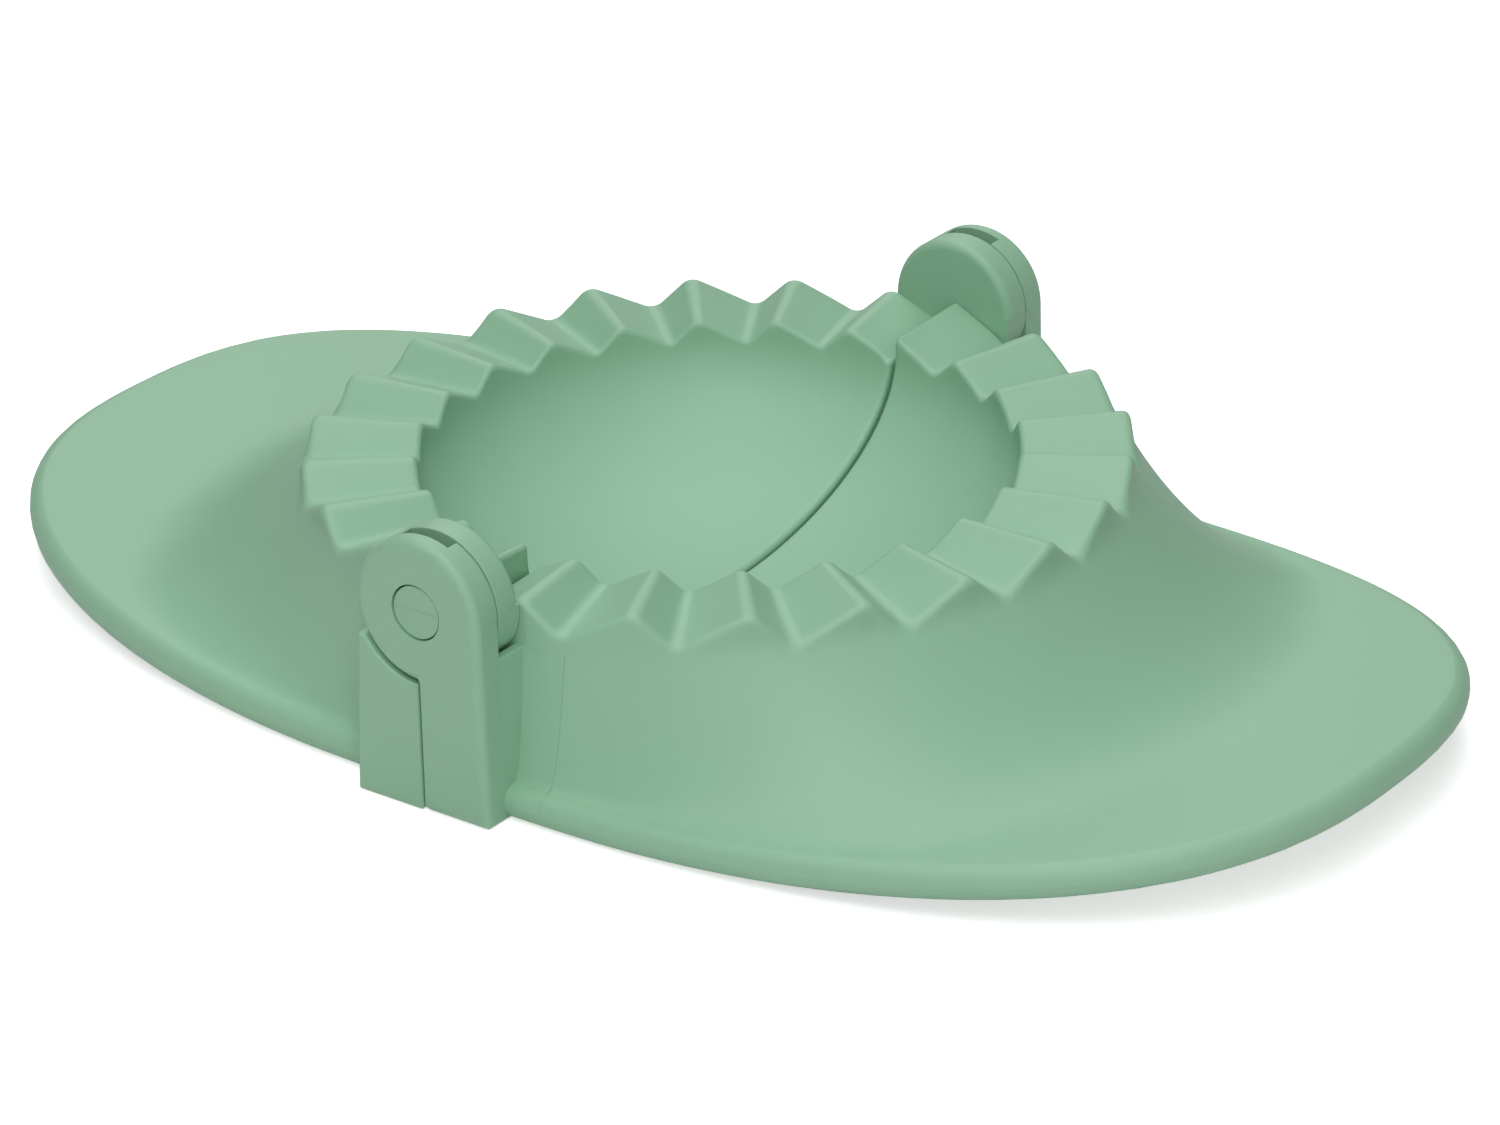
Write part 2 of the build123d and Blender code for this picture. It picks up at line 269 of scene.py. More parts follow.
def tooth_columns():
    """Angles from +X and tooth heights down one half's rim, from its back seam to its front seam."""
    per_degree = math.radians(1) * RIM_RADIUS
    corners = [(0.0, RIDGE_Z)]
    for tooth in range(TEETH_PER_HALF):
        ridge = SEAM_RIDGE_ANGLE + PITCH_ANGLE * tooth
        corners.append((ridge * per_degree, RIDGE_Z))
        corners.append(((ridge + PITCH_ANGLE * GENTLE_SHARE) * per_degree, VALLEY_Z))
    end = 180 * per_degree
    corners.append((end + SPARE, VALLEY_Z))
    corners = np.array(corners)
    points = [corners[:1]]
    for i in range(1, len(corners) - 1):
        arc = arc_points(corners[i - 1], corners[i], corners[i + 1], TOOTH_ROUNDING, ARC_STEPS + 1)
        gap = arc[0] - points[-1][-1]
        steps = max(1, round(float(np.linalg.norm(gap)) / FACET_LENGTH))
        shares = np.arange(1, steps)[:, None] / steps
        points.append(points[-1][-1] + gap * shares)
        points.append(arc)
    points.append(corners[-1:])
    points = np.concatenate(points)
    kept = points[points[:, 0] < end - LEAST_STEP]
    kept = np.concatenate([kept, [[end, np.interp(end, points[:, 0], points[:, 1])]]])
    return 90 - kept[:, 0] / per_degree, kept[:, 1]


def tapered(z, r):
    """Height, at a distance from the axis, of a line that has the height z at the rim."""
    return TOOTH_MIDDLE_Z + (z - TOOTH_MIDDLE_Z) * r / RIM_RADIUS


# ---------------------------------------------------------------- wing


def outline_radius(angle):
    """Distance from the centre to the wing's outline."""
    along = abs(math.cos(angle)) / WING_LENGTH
    across = abs(math.sin(angle)) / WING_WIDTH
    return (along**OUTLINE_POWER + across**OUTLINE_POWER) ** (-1 / OUTLINE_POWER)


def lift(x):
    """Height of the lip's foot above the table."""
    run = np.maximum(0.0, np.abs(x) - RISE_START) / (WING_LENGTH - RISE_START)
    return TIP_RISE * run**RISE_POWER


def flare(angle, r):
    """Height of the wing's top at distance r, carried on upward inside the shoulder."""
    reach = outline_radius(angle) - LIP_ROUNDING - SHOULDER_RADIUS
    narrow = reach**-FLARE_BLEND_POWER + FLARE_WIDTH**-FLARE_BLEND_POWER
    width = narrow ** (-1 / FLARE_BLEND_POWER)
    floor_z = lift(r * math.cos(angle)) + LIP_HEIGHT
    left = np.clip(1 - (r - SHOULDER_RADIUS) / width, 0, 1)
    shoulder_floor = lift(SHOULDER_RADIUS * math.cos(angle)) + LIP_HEIGHT
    steepness = (SHOULDER_Z - shoulder_floor) * FLARE_POWER / width
    inside_z = SHOULDER_Z + np.maximum(0, SHOULDER_RADIUS - r) * steepness
    outside_z = floor_z + (SHOULDER_Z - floor_z) * left**FLARE_POWER
    return np.where(r < SHOULDER_RADIUS, inside_z, outside_z)


def sloping(radius_table, height_table, height):
    """Distance at which a curve that falls outward passes a height."""
    lowest = int(np.argmin(height_table))
    falling = slice(0, lowest + 1)
    return float(np.interp(-height, -height_table[falling], radius_table[falling]))


def along(points, first_r, count):
    """Points at even steps along a curve, from the distance first_r to its end."""
    step = np.linalg.norm(np.diff(points, axis=0), axis=1)
    length = np.concatenate([[0], np.cumsum(step)])
    start = np.interp(first_r, points[:, 0], length)
    at = np.linspace(start, length[-1], count)
    return np.stack([np.interp(at, length, points[:, 0]), np.interp(at, length, points[:, 1])], 1)


def outer_side(top, tooth_z):
    """Rounded way from the flat of a tooth over the rim's outer edge and down the wall to the lip."""
    over = top[:, 1] - tapered(tooth_z, top[:, 0])
    crossing_r = float(np.interp(0, -over, top[:, 0]))
    corner_r = max(RIM_RADIUS, crossing_r)
    start = np.array([corner_r - 2 * SIDE_REACH, tapered(tooth_z, corner_r - 2 * SIDE_REACH)])
    corner = np.array([corner_r, tapered(tooth_z, corner_r)])
    below = top[top[:, 0] > corner_r + LEAST_STEP]
    meet = [corner_r, float(np.interp(corner_r, top[:, 0], top[:, 1]))]
    middle = [corner, meet] if crossing_r < RIM_RADIUS else [corner]
    way = np.concatenate([[start], middle, below])
    length = np.concatenate([[0], np.cumsum(np.linalg.norm(np.diff(way, axis=0), axis=1))])
    at = np.arange(0, length[-1], SIDE_STEP)
    dense = np.stack([np.interp(at, length, way[:, 0]), np.interp(at, length, way[:, 1])], 1)
    half_width = round(AVERAGE_SHARE * RIM_EDGE_ROUNDING / SIDE_STEP)
    kernel = np.ones(2 * half_width + 1) / (2 * half_width + 1)
    smooth = np.stack([np.convolve(dense[:, i], kernel, "same") for i in (0, 1)], 1)
    near = (at > SIDE_REACH / 2) & (at < length[-1] - 2 * SIDE_REACH)
    dense[near] = smooth[near]
    corner_at = np.linalg.norm(corner - start)
    first_rows = corner_at + np.array(NEAR_ROWS + FAR_ROWS)
    last_rows = np.linspace(first_rows[-1], length[-1], WALL_ROWS)[1:]
    rows = np.concatenate([first_rows, last_rows])
    side = np.stack([np.interp(rows, at, dense[:, 0]), np.interp(rows, at, dense[:, 1])], 1)
    side[-1] = top[-1]
    return side


def bowl_curve(radius, depth, end_z, count):
    """Points of a bowl's wall from its bottom up to end_z."""
    share = np.linspace(0, 1, count)
    z = BOWL_TOP_Z - depth
    z = z + (end_z - z) * (1 - np.cos(share * math.pi / 2))
    below = np.maximum(0, BOWL_TOP_Z - z) / depth
    return np.stack([radius * np.sqrt(np.maximum(0, 1 - below**2)), z], 1)


def quarter(corner_r, corner_z, size_r, size_z, count):
    """Points of a quarter ellipse about a centre, from its top to its side."""
    turn = np.linspace(0, math.pi / 2, count)
    return np.stack([corner_r + size_r * np.sin(turn), corner_z + size_z * np.cos(turn)], 1)


def wing_lines(angle):
    """Lines (r, z) of the wing's top and of its underside, from inside the rim out to the lip."""
    end_r = outline_radius(angle) - LIP_ROUNDING
    inside_r = np.linspace(BOWL_RADIUS + 2 * BOWL_WALL, SHOULDER_RADIUS, INSIDE_SAMPLES)[:-1]
    outside_r = SHOULDER_RADIUS + (end_r - SHOULDER_RADIUS) * np.linspace(0, 1, OUTSIDE_SAMPLES)
    top_r = np.concatenate([inside_r, outside_r])
    top_z = flare(angle, top_r)
    slope_r, slope_z = np.gradient(top_r), np.gradient(top_z)
    run = np.hypot(slope_r, slope_z)
    top = np.stack([top_r, top_z], 1)
    under = np.stack([top_r + WING_WALL * slope_z / run, top_z - WING_WALL * slope_r / run], 1)
    return top, under


def bowl_and_flat(tooth_z):
    """Inside of the bowl, its rounded edge and the flat of a tooth up to the rim's outer edge."""
    flat_r = BOWL_RADIUS + BOWL_EDGE_ROUNDING
    edge_z = tapered(tooth_z, flat_r) - BOWL_EDGE_ROUNDING
    bowl = bowl_curve(BOWL_RADIUS, BOWL_DEPTH, edge_z, BOWL_ROWS)
    edge = quarter(flat_r, edge_z, bowl[-1, 0] - flat_r, BOWL_EDGE_ROUNDING, BOWL_EDGE_ROWS)[::-1]
    flat = np.linspace(flat_r, RIM_RADIUS - SIDE_REACH, FLAT_ROWS)
    flat = np.stack([flat, tapered(tooth_z, flat)], 1)
    return np.concatenate([bowl, edge[1:], flat[1:]])


def lip_line(lip_r, end_z):
    """Way round the lip, from its top at end_z over its side and foot to its inner edge."""
    foot_z = end_z - LIP_HEIGHT
    lip = quarter(lip_r - LIP_ROUNDING, end_z - LIP_ROUNDING, LIP_ROUNDING, LIP_ROUNDING, LIP_ROWS)
    foot_r = lip_r - LIP_FOOT_ROUNDING
    middle_z = foot_z + LIP_FOOT_ROUNDING
    foot = quarter(foot_r, middle_z, LIP_FOOT_ROUNDING, -LIP_FOOT_ROUNDING, FOOT_ROWS)[::-1]
    return np.concatenate([lip[1:], foot, [[lip_r - WING_WALL, foot_z]]])


def inner_way(under, tooth_z):
    """Way back below the wing, across below the rim and down the outside of the bowl."""
    outside_r = BOWL_RADIUS + BOWL_WALL
    roof_z = tapered(tooth_z, SHOULDER_RADIUS - WING_WALL) - RIM_THICKNESS
    roof_r = sloping(under[:, 0], under[:, 1], roof_z)
    underside = along(under, roof_r, UNDERSIDE_ROWS)[::-1]
    underside[-1] = (roof_r, roof_z)
    roof_inner_z = tapered(tooth_z, outside_r) - RIM_THICKNESS
    outer_bowl = bowl_curve(outside_r, BOWL_DEPTH + BOWL_WALL, roof_inner_z, OUTER_BOWL_ROWS)[::-1]
    roof = (underside[-1] + outer_bowl[0]) / 2
    return np.concatenate([underside, [roof], outer_bowl])


def section(angle, tooth_z):
    """Closed outline (r, z) of a half at one angle: bowl, rim, wing, lip and underside."""
    top, under = wing_lines(angle)
    wall = outer_side(top, tooth_z)
    lip = lip_line(outline_radius(angle), wall[-1, 1])
    return np.concatenate([bowl_and_flat(tooth_z), wall, lip, inner_way(under, tooth_z)])


def drawn_in(outline, depth):
    """The outline moved by depth into the wall."""
    ahead = np.diff(outline, axis=0)
    ahead = np.stack([ahead[:, 1], -ahead[:, 0]], 1)
    ahead /= np.linalg.norm(ahead, axis=1)[:, None]
    before = np.concatenate([[[0.0, -1.0]], ahead])
    after = np.concatenate([ahead, [[0.0, 1.0]]])
    normal = before + after
    normal /= np.maximum(np.linalg.norm(normal, axis=1), LEAST_NORMAL)[:, None] ** 2
    moved = outline + 2 * depth * normal
    moved[[0, -1], 0] = outline[[0, -1], 0]
    return moved


# ---------------------------------------------------------------- meshes


def solid(name, points, faces):
    """A closed mesh object from points in millimetres."""
    mesh = bpy.data.meshes.new(name)
    mesh.from_pydata([tuple(p) for p in np.asarray(points) * MM], [], faces)
    piece = bpy.data.objects.new(name, mesh)
    bpy.context.scene.collection.objects.link(piece)
    body = bmesh.new()
    body.from_mesh(mesh)
    bmesh.ops.remove_doubles(body, verts=body.verts, dist=MERGE_DISTANCE * MM)
    bmesh.ops.recalc_face_normals(body, faces=body.faces)
    if body.calc_volume(signed=True) < 0:
        bmesh.ops.reverse_faces(body, faces=body.faces)
    body.to_mesh(mesh)
    body.free()
    return piece


def fanned_column(angle, outline):
    """Places of an outline at an angle from +X, pushed out from the seam towards the bowl's middle."""
    r, z = outline[:, 0], outline[:, 1]
    shift = FAN_X * np.maximum(0, 1 - r / BOWL_RADIUS)
    x = np.maximum(r * math.cos(angle) + shift, FAN_X)
    return np.stack([x, r * math.sin(angle), z], 1)


def seam_columns(outline, side):
    """Columns that round the seam edge down to the seam plane, on one side (1 for +Y, -1 for -Y)."""
    inside_leg = (outline[:, 0] > ROOT_Y) & (outline[:, 1] < LIP_HEIGHT + SEAM_ROUNDING)
    rounding = np.where(inside_leg, 0, SEAM_ROUNDING)
    columns = []
    for step in range(1, SEAM_STEPS + 1):
        turn = step / SEAM_STEPS * math.pi / 2
        drawn = drawn_in(outline, rounding[:, None] * (1 - math.cos(turn)))
        x = np.full(len(outline), FAN_X - SEAM_ROUNDING * math.sin(turn))
        columns.append(np.stack([x, side * drawn[:, 0], drawn[:, 1]], 1))
    return columns


def half_shell(name):
    """Bowl, rim and wing of the half at x > 0 as one closed mesh with a rounded seam edge."""
    angles, heights = tooth_columns()
    angles = np.radians(angles)
    clear = np.cos(angles) * BOWL_RADIUS > FAN_X + LEAST_STEP
    clear[[0, -1]] = True
    angles, heights = angles[clear], heights[clear]
    outlines = [section(a, z) for a, z in zip(angles, heights)]
    columns = seam_columns(outlines[0], 1)[::-1]
    columns += [fanned_column(angle, outline) for angle, outline in zip(angles, outlines)]
    columns += seam_columns(outlines[-1], -1)
    count = len(outlines[0])
    faces = []
    for column in range(len(columns) - 1):
        for row in range(count - 1):
            a = column * count + row
            faces.append((a, a + 1, a + count + 1, a + count))
    last = (len(columns) - 1) * count
    faces.append(tuple(range(count)))
    faces.append(tuple(range(last, last + count)))
    return solid(name, np.concatenate(columns), faces)


def prism(name, outline, near_y, far_y):
    """A plate with an X-Z outline that reaches from near_y out to far_y."""
    count = len(outline)
    points = [(x, y, z) for y in (near_y, far_y) for x, z in outline]
    faces = [tuple(range(count)), tuple(range(count, 2 * count))]
    for i in range(count):
        j = (i + 1) % count
        faces.append((i, j, j + count, i + count))
    return solid(name, points, faces)


def cross_prism(name, outline, near_x, far_x):
    """A plate with a Y-Z outline that reaches from near_x out to far_x."""
    piece = prism(name, outline, -far_x, -near_x)
    piece.data.transform(Matrix.Rotation(math.pi / 2, 4, "Z"))
    return piece


def arc(radius, start, end, count):
    """Points of an arc about the hinge line, between two angles in degrees."""
    turn = np.radians(np.linspace(start, end, count))
    return [(radius * math.cos(t), HINGE_Z + radius * math.sin(t)) for t in turn]


def circle(radius):
    """Points of a full circle about the hinge line."""
    return arc(radius, 0, 360, CIRCLE_POINTS + 1)[:-1]


def rectangle(x_from, x_to, z_from, z_to):
    """Corners of an upright rectangle."""
    return [(x_from, z_from), (x_to, z_from), (x_to, z_to), (x_from, z_to)]


def corner_cutter(corner_x, inward, radius):
    """What a rounding takes off a leg's foot; inward is 1 where the leg lies to the right of corner_x."""
    turn = np.radians(np.linspace(270, 180, CORNER_POINTS))
    centre_x, centre_z = corner_x + inward * radius, radius
    reach = radius + 2 * PROUD
    round_part = [(centre_x + inward * reach * math.cos(t), centre_z + reach * math.sin(t)) for t in turn]
    outside_x = corner_x - inward * SPARE
    outside = [(outside_x, centre_z), (outside_x, -SPARE), (centre_x, -SPARE)]
    return prism("corner", round_part + outside, ROOT_Y - SPARE, EAR_FACE_Y + SPARE)


def round_edges(piece, width, chosen, steps):
    """Rounds the edges whose two ends (in millimetres) the test chosen accepts."""
    body = bmesh.new()
    body.from_mesh(piece.data)
    edges = [e for e in body.edges if chosen(e.verts[0].co / MM, e.verts[1].co / MM)]
    bmesh.ops.bevel(body, geom=edges, offset=width * MM, segments=steps, profile=0.5, affect="EDGES")
    body.to_mesh(piece.data)
    body.free()
    return piece


def combine(piece, tool, operation):
    """Joins a second solid to a piece or cuts it away, and uses that solid up."""
    modifier = piece.modifiers.new("combine", "BOOLEAN")
    modifier.operation = operation
    modifier.solver = "EXACT"
    modifier.object = tool
    bpy.context.view_layer.update()
    shown = piece.evaluated_get(bpy.context.evaluated_depsgraph_get())
    mesh = bpy.data.meshes.new_from_object(shown)
    piece.modifiers.clear()
    old = piece.data
    piece.data = mesh
    mesh.name = piece.name
    bpy.data.meshes.remove(old)
    bpy.data.meshes.remove(tool.data)
    return piece


def same_y(a, b, y):
    """Whether both ends of an edge lie on the plane at y."""
    return abs(a.y - y) < ON_PLANE and abs(b.y - y) < ON_PLANE


def leaning(foot_x, hinge_x, z):
    """Place in X, at a height, of a leg's outer side."""
    return foot_x + (hinge_x - foot_x) * z / HINGE_Z


def ear():
    """Ear with its bore and lead-in groove, and the leg below it, at the +Y end."""
    meet_z = HINGE_Z - math.sqrt(HEAD_RADIUS**2 - SEAM_X**2)
    under_angle = 270 + math.degrees(math.asin(SEAM_X / HEAD_RADIUS))
    leg = [(SEAM_X - PROUD, -PROUD), (EAR_LEG_FOOT_WIDTH, -PROUD)]
    piece = prism("ear", leg + arc(HEAD_RADIUS, 0, under_angle, EAR_POINTS), EAR_INNER_Y, EAR_FACE_Y)

    def seam(a, b):
        at_seam = max(abs(a.x - SEAM_X), abs(b.x - SEAM_X)) < ON_PLANE
        return at_seam and max(a.z, b.z) < meet_z + ON_PLANE

    def inner_edge(a, b):
        return same_y(a, b, EAR_INNER_Y) and a.z + b.z > 2 * SHELF_Z

    def face_edge(a, b):
        return same_y(a, b, EAR_FACE_Y) and not seam(a, b)

    round_edges(piece, EAR_ROUNDING, face_edge, EAR_STEPS)
    round_edges(piece, FINE_ROUNDING, inner_edge, INNER_EDGE_STEPS)
    combine(piece, ear_foot(leg), "UNION")
    bore = prism("bore", circle(SHOWN_BORE_RADIUS), EAR_INNER_Y - SPARE, EAR_FACE_Y + SPARE)
    combine(piece, bore, "DIFFERENCE")
    combine(piece, corner_cutter(SEAM_X, 1, FOOT_CORNER_ROUNDING), "DIFFERENCE")
    combine(piece, corner_cutter(EAR_LEG_FOOT_WIDTH, -1, SEAM_CORNER_ROUNDING), "DIFFERENCE")
    groove = rectangle(-BORE_RADIUS, BORE_RADIUS, HINGE_Z, HINGE_Z + HEAD_RADIUS + SPARE)
    groove = prism("groove", groove, EAR_INNER_Y - SPARE, EAR_INNER_Y + GROOVE_DEPTH)
    return combine(piece, groove, "DIFFERENCE")


def ear_foot(leg):
    """Part of the ear's leg behind the ear, with the hollow that the lug turns in."""
    shelf_x = leaning(EAR_LEG_FOOT_WIDTH, HEAD_RADIUS, SHELF_Z)
    foot_top = [(shelf_x, SHELF_Z + PROUD), (SEAM_X - PROUD, SHELF_Z + PROUD)]
    foot = prism("foot", leg + foot_top, ROOT_Y, EAR_INNER_Y + FINE_ROUNDING)

    def shelf_edge(a, b):
        return min(a.z, b.z) > SHELF_Z - ON_PLANE and min(a.x, b.x) > SPARE

    round_edges(foot, FINE_ROUNDING, shelf_edge, OPEN_EDGE_STEPS)
    hollow = circle(POCKET_RADIUS - 4 * PROUD)
    hollow = prism("hollow", hollow, POCKET_INNER_Y + PROUD, EAR_INNER_Y + PROUD)
    return combine(foot, hollow, "DIFFERENCE")


def lug():
    """Lug with its stub pin, and the leg below it, at the +Y end."""
    shelf_x = -leaning(PIN_LEG_FOOT_WIDTH, PIN_LEG_HINGE_WIDTH, SHELF_Z)
    tip_angle = 180 + math.degrees(math.asin((HINGE_Z - SHELF_Z) / POCKET_RADIUS))
    under_angle = 270 - math.degrees(math.asin(SEAM_X / POCKET_RADIUS))
    hollow = arc(POCKET_RADIUS, under_angle, tip_angle, HOLLOW_POINTS)
    corners = [(-PIN_LEG_FOOT_WIDTH, -PROUD), (PROUD - SEAM_X, -PROUD)]
    leg = prism("leg", corners + hollow + [(shelf_x, SHELF_Z)], LUG_FACE_Y, EAR_FACE_Y)
    round_edges(leg, LEG_ROUNDING, lambda a, b: same_y(a, b, EAR_FACE_Y), LEG_STEPS)
    block = corners + [(PROUD - SEAM_X, SHELF_Z), (shelf_x, SHELF_Z)]
    combine(leg, prism("block", block, LUG_INNER_Y, LUG_FACE_Y + FINE_ROUNDING), "UNION")
    root_top_z = VALLEY_Z - RIM_THICKNESS / 2
    root_x = -leaning(PIN_LEG_FOOT_WIDTH, PIN_LEG_HINGE_WIDTH, root_top_z)
    root = corners + [(PROUD - SEAM_X, root_top_z), (root_x, root_top_z)]
    combine(leg, prism("root", root, ROOT_Y, LUG_INNER_Y + FINE_ROUNDING), "UNION")
    combine(leg, corner_cutter(-PIN_LEG_FOOT_WIDTH, 1, FOOT_CORNER_ROUNDING), "DIFFERENCE")
    combine(leg, corner_cutter(-SEAM_X, -1, SEAM_CORNER_ROUNDING), "DIFFERENCE")
    combine(leg, lug_disc(), "UNION")
    return combine(leg, stub_pin(), "UNION")


def lug_disc():
    """Round lug, whose lower right quarter has a sharp edge and lies one step lower."""
    disc = prism("disc", circle(HEAD_RADIUS), LUG_INNER_Y, LUG_FACE_Y)
    round_edges(disc, EAR_ROUNDING, lambda a, b: same_y(a, b, LUG_INNER_Y), EAR_STEPS)
    round_edges(disc, FINE_ROUNDING, lambda a, b: same_y(a, b, LUG_FACE_Y), INNER_EDGE_STEPS)
    room = rectangle(0, HEAD_RADIUS + SPARE, HINGE_Z - HEAD_RADIUS - SPARE, PARTING_Z)
    combine(disc, prism("room", room, LUG_INNER_Y - SPARE, LUG_FACE_Y + SPARE), "DIFFERENCE")
    radius = HEAD_RADIUS - LUG_STEP
    rise = PARTING_RISE + PROUD
    end_angle = math.degrees(math.asin(rise / radius))
    outline = [(-PROUD, HINGE_Z - radius), *arc(radius, -90, end_angle, QUARTER_POINTS)]
    outline.append((-PROUD, HINGE_Z + rise))
    quarter_disc = prism("quarter_disc", outline, LUG_INNER_Y + PROUD, LUG_FACE_Y - PROUD)
    return combine(disc, quarter_disc, "UNION")


def stub_pin():
    """Pin whose end slants away below the parting line just above its middle."""
    end_y = EAR_FACE_Y - PIN_RECESS
    pin = prism("pin", circle(PIN_RADIUS), LUG_INNER_Y + LUG_THICKNESS / 2, end_y)
    round_edges(pin, FINE_ROUNDING, lambda a, b: same_y(a, b, end_y), OPEN_EDGE_STEPS)
    bottom_z = HINGE_Z - PIN_RADIUS
    spare_y = end_y + SPARE
    corners = [(end_y - PIN_STEP, PARTING_Z), (end_y - PIN_SLANT, bottom_z - SPARE)]
    corners += [(spare_y, bottom_z - SPARE), (spare_y, PARTING_Z)]
    return combine(pin, cross_prism("slant", corners, -SPARE, SPARE), "DIFFERENCE")


def end_wall(side, top_z):
    """Wall along the seam from the bowl out to the wing, on one side (1 for +Y, -1 for -Y)."""
    wall = BOWL_WALL / 2
    bowl = bowl_curve(BOWL_RADIUS + wall, BOWL_DEPTH + wall, top_z, END_WALL_POINTS)
    bowl = bowl[bowl[:, 1] > END_WALL_BOTTOM_Z]
    outer_y = SHOULDER_RADIUS - END_WALL_SET_BACK
    outline = [*bowl, (outer_y, top_z), (outer_y, END_WALL_BOTTOM_Z)]
    outline = [(side * y, z) for y, z in outline]
    return cross_prism("end_wall", outline, SEAM_X - 2 * PROUD, SEAM_X + END_WALL)


def outside_point(x, z):
    """Point on the front outside of the half at x > 0, found by turning towards the right x."""
    r = RIM_RADIUS
    for _ in range(SEARCH_ROUNDS):
        angle = math.acos(x / r)
        end_r = outline_radius(angle) - LIP_ROUNDING
        lip_middle_z = float(lift(end_r * math.cos(angle))) + LIP_HEIGHT - LIP_ROUNDING
        top_r = np.linspace(SHOULDER_RADIUS, end_r, OUTSIDE_SAMPLES)
        r = sloping(top_r, flare(angle, top_r), z)
        if z < lip_middle_z + LIP_ROUNDING:
            r = end_r + math.sqrt(LIP_ROUNDING**2 - max(0, z - lip_middle_z) ** 2)
    return np.array([x, -math.sqrt(r**2 - x**2), z])


def mould_line(places):
    """Fine raised line along the wall, as the edge of a mould insert leaves it."""
    middle = np.array([outside_point(x, z) for x, z in places])
    ahead = np.gradient(middle, axis=0)
    ahead /= np.linalg.norm(ahead, axis=1)[:, None]
    outward = middle * (1, 1, 0)
    outward /= np.linalg.norm(outward, axis=1)[:, None]
    across = np.cross(ahead, outward)
    top = middle + outward * LINE_HEIGHT
    foot = middle - outward * LINE_WIDTH
    points = np.concatenate([top, foot + across * LINE_WIDTH, foot - across * LINE_WIDTH])
    count = len(middle)
    faces = [(0, count, 2 * count), (count - 1, 2 * count - 1, 3 * count - 1)]
    for side in range(3):
        a, b = side * count, (side + 1) % 3 * count
        faces += [(a + i, a + i + 1, b + i + 1, b + i) for i in range(count - 1)]
    return solid("mould_line", points, faces)


def pocket():
    """Room for the lug in the half that carries the ears, with a round bottom below the shelf."""
    side_angle = math.degrees(math.asin((HINGE_Z - SHELF_Z) / POCKET_RADIUS))
    top_z = HINGE_Z + HEAD_RADIUS + SPARE
    outline = [(-POCKET_RADIUS, top_z), (-POCKET_RADIUS, SHELF_Z)]
    outline += arc(POCKET_RADIUS, 180 + side_angle, 360 - side_angle, POCKET_POINTS)
    outline += [(POCKET_RADIUS, SHELF_Z), (POCKET_RADIUS, top_z)]
    return prism("pocket", outline, POCKET_INNER_Y, EAR_INNER_Y + PROUD)


def mirrored(piece):
    """A copy of a hinge piece for the -Y end."""
    other = piece.copy()
    other.data = piece.data.copy()
    other.data.transform(Matrix.Scale(-1, 4, (0, 1, 0)))
    other.data.flip_normals()
    bpy.context.scene.collection.objects.link(other)
    return other


def combine_at_both_ends(piece, tool, operation):
    """Joins or cuts a hinge piece at the +Y end and its mirror image at the -Y end."""
    far_tool = mirrored(tool)
    combine(piece, tool, operation)
    combine(piece, far_tool, operation)


def finish_mesh(piece, body, material):
    """Sets the shading of a finished half and puts it in the place of its node."""
    mesh = piece.data
    mesh.materials.clear()
    mesh.materials.append(material)
    mesh.shade_smooth()
    mesh.set_sharp_from_angle(angle=math.radians(SHARP_ANGLE))
    modifier = piece.modifiers.new("even_shading", "WEIGHTED_NORMAL")
    modifier.keep_sharp = True
    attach(piece, body)
    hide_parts(body)


# ---------------------------------------------------------------- material


def linear(hex_colour):
    """Linear colour of an sRGB hex value."""
    parts = [int(hex_colour[i : i + 2], 16) / 255 for i in (1, 3, 5)]
    return [c / 12.92 if c <= 0.04045 else ((c + 0.055) / 1.055) ** 2.4 for c in parts] + [1.0]


def node(tree, kind, settings=None, links=None):
    """Adds a node, sets its properties and sockets, and links other nodes' outputs to it."""
    added = tree.nodes.new(kind)
    for key, value in (settings or {}).items():
        if isinstance(key, str) and hasattr(added, key):
            setattr(added, key, value)
        else:
            added.inputs[key].default_value = value
    for key, source in (links or {}).items():
        tree.links.new(source, added.inputs[key])
    return added


def moulded_polypropylene():
    """Polypropylene, injection moulded: a soft satin skin over a green body."""
    material = bpy.data.materials.new("polypropylene_moulded")
    material.use_nodes = True
    tree = material.node_tree
    tree.nodes.clear()
    place = node(tree, "ShaderNodeTexCoord")
    grain = node(
        tree,
        "ShaderNodeTexNoise",
        {"Scale": 1 / (GRAIN_SIZE * MM), "Detail": GRAIN_DETAIL, "Roughness": GRAIN_FALL},
        {"Vector": place.outputs["Object"]},
    )
    bump = node(
        tree,
        "ShaderNodeBump",
        {"Strength": GRAIN_STRENGTH, "Distance": GRAIN_DEPTH * MM},
        {"Height": grain.outputs["Fac"]},
    )
    surface = node(
        tree,
        "ShaderNodeBsdfPrincipled",
        {"Base Color": linear(SAGE_GREEN), "Roughness": SKIN_ROUGHNESS, "IOR": PLASTIC_IOR},
        {"Normal": bump.outputs["Normal"]},
    )
    node(tree, "ShaderNodeOutputMaterial", None, {"Surface": surface.outputs["BSDF"]})
    return material


# ---------------------------------------------------------------- studio


def direction(azimuth, elevation):
    """Way out from the centre; azimuth turns from -Y towards +X."""
    a, e = math.radians(azimuth), math.radians(elevation)
    return Vector((math.sin(a) * math.cos(e), -math.cos(a) * math.cos(e), math.sin(e)))


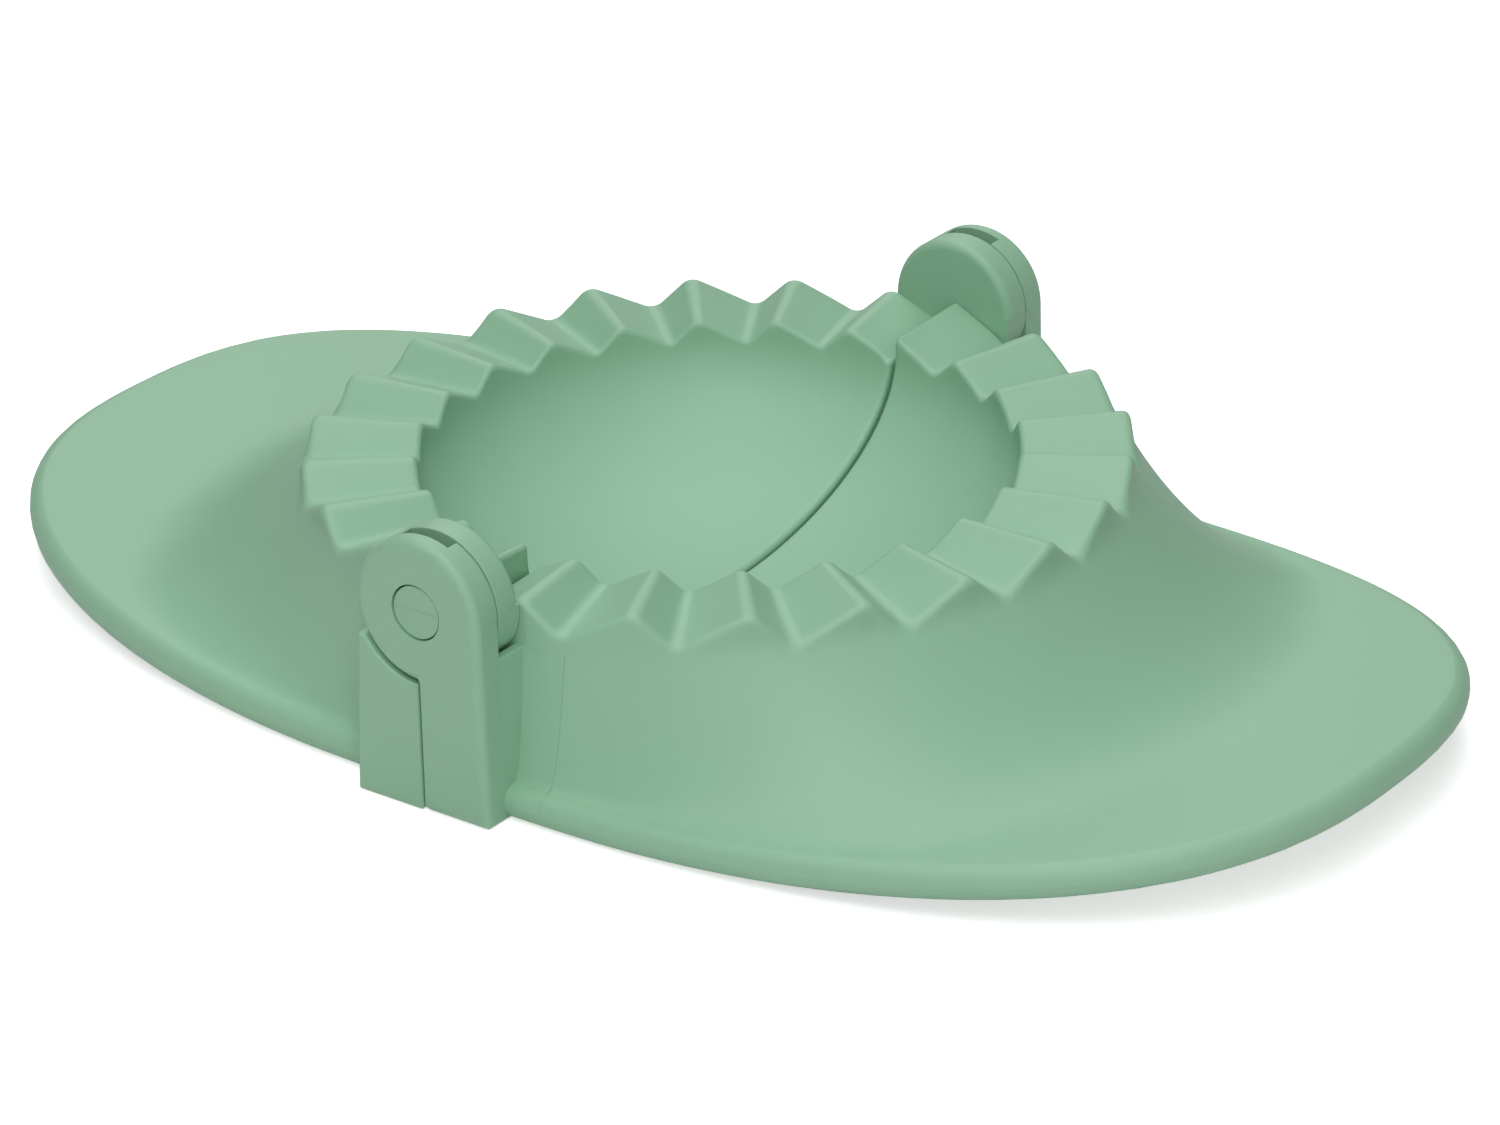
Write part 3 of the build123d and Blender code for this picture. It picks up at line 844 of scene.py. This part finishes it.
def backdrop():
    """White behind the press that gives no light of its own."""
    world = bpy.data.worlds.new("studio")
    bpy.context.scene.world = world
    world.use_nodes = True
    tree = world.node_tree
    tree.nodes.clear()
    ray = node(tree, "ShaderNodeLightPath")
    white = node(tree, "ShaderNodeBackground", {"Color": WHITE}, {"Strength": ray.outputs["Is Camera Ray"]})
    node(tree, "ShaderNodeOutputWorld", None, {"Surface": white.outputs["Background"]})


def white_paper():
    """Matt paper that a little glow, seen by the camera alone, lifts to the white of the backdrop."""
    material = bpy.data.materials.new("white_paper")
    material.use_nodes = True
    tree = material.node_tree
    tree.nodes.clear()
    ray = node(tree, "ShaderNodeLightPath")
    paper = node(tree, "ShaderNodeBsdfDiffuse", {"Color": PAPER_WHITE})
    glow = node(tree, "ShaderNodeEmission", {"Color": WHITE, "Strength": FLOOR_GLOW})
    both = node(tree, "ShaderNodeAddShader", None, {0: paper.outputs["BSDF"], 1: glow.outputs["Emission"]})
    seen = node(
        tree,
        "ShaderNodeMixShader",
        None,
        {0: ray.outputs["Is Camera Ray"], 1: paper.outputs["BSDF"], 2: both.outputs["Shader"]},
    )
    node(tree, "ShaderNodeOutputMaterial", None, {"Surface": seen.outputs["Shader"]})
    return material


def floor():
    """Plain white floor just below the feet."""
    bpy.ops.mesh.primitive_plane_add(size=FLOOR_SIZE * MM)
    sheet = bpy.context.object
    sheet.name = "floor"
    sheet.location.z = cad_box[0][2] - FLOOR_DROP * MM
    sheet.data.materials.append(white_paper())


def lamps():
    """Large soft lamps all round the press, each turned to its middle."""
    for name, (azimuth, elevation, power) in LAMPS.items():
        light = bpy.data.lights.new(name, "AREA")
        light.shape = "DISK"
        light.size = LAMP_SIZE * MM
        light.energy = power
        lamp = bpy.data.objects.new(name, light)
        lamp.location = direction(CAMERA_AZIMUTH + azimuth, elevation) * LAMP_DISTANCE * MM
        lamp.rotation_euler = lamp.location.to_track_quat("Z", "Y").to_euler()
        bpy.context.scene.collection.objects.link(lamp)


def camera():
    """The photograph's camera."""
    back = direction(CAMERA_AZIMUTH, CAMERA_ELEVATION)
    right = direction(CAMERA_AZIMUTH + 90, 0)
    up = back.cross(right)
    roll = math.radians(CAMERA_ROLL)
    turned_right = right * math.cos(roll) + up * math.sin(roll)
    turned_up = up * math.cos(roll) - right * math.sin(roll)
    camera_data = bpy.data.cameras.new("camera")
    camera_data.sensor_width = SENSOR_WIDTH
    camera_data.lens = CAMERA_LENS
    viewer = bpy.data.objects.new("camera", camera_data)
    place = (Vector(CAMERA_TARGET) + back * CAMERA_DISTANCE) * MM
    turn = Matrix((turned_right, turned_up, back)).transposed().to_4x4()
    viewer.matrix_world = Matrix.Translation(place) @ turn
    scene = bpy.context.scene
    scene.collection.objects.link(viewer)
    scene.camera = viewer
    scene.view_settings.view_transform = "Standard"


# ---------------------------------------------------------------- the press


def plain_halves():
    """Both halves without their hinges; the second is the first, turned by half a turn."""
    first = half_shell("ear_half_moulding")
    combine(first, end_wall(1, RIDGE_Z - BACK_WALL_SINK * RIM_THICKNESS), "UNION")
    combine(first, end_wall(-1, VALLEY_Z - FRONT_WALL_SINK * RIM_THICKNESS), "UNION")
    second = first.copy()
    second.data = first.data.copy()
    second.name = "pin_half_moulding"
    second.data.transform(Matrix.Rotation(math.pi, 4, "Z"))
    bpy.context.scene.collection.objects.link(second)
    return first, second


def press():
    """Both halves, finished and in the places of their nodes."""
    ear_half, pin_half = plain_halves()
    combine_at_both_ends(ear_half, pocket(), "DIFFERENCE")
    combine_at_both_ends(ear_half, ear(), "UNION")
    upright_line = [(LINE_X, z) for z in np.linspace(LINE_BOTTOM_Z, LINE_Z, UPRIGHT_LINE_POINTS)]
    level_line = [(x, LINE_Z) for x in np.linspace(HEAD_RADIUS, LINE_X, LEVEL_LINE_POINTS)]
    combine(ear_half, mould_line(upright_line), "UNION")
    combine(ear_half, mould_line(level_line), "UNION")
    combine_at_both_ends(pin_half, lug(), "UNION")
    material = moulded_polypropylene()
    finish_mesh(ear_half, "ear_half", material)
    finish_mesh(pin_half, "pin_half", material)


press()
backdrop()
floor()
lamps()
camera()
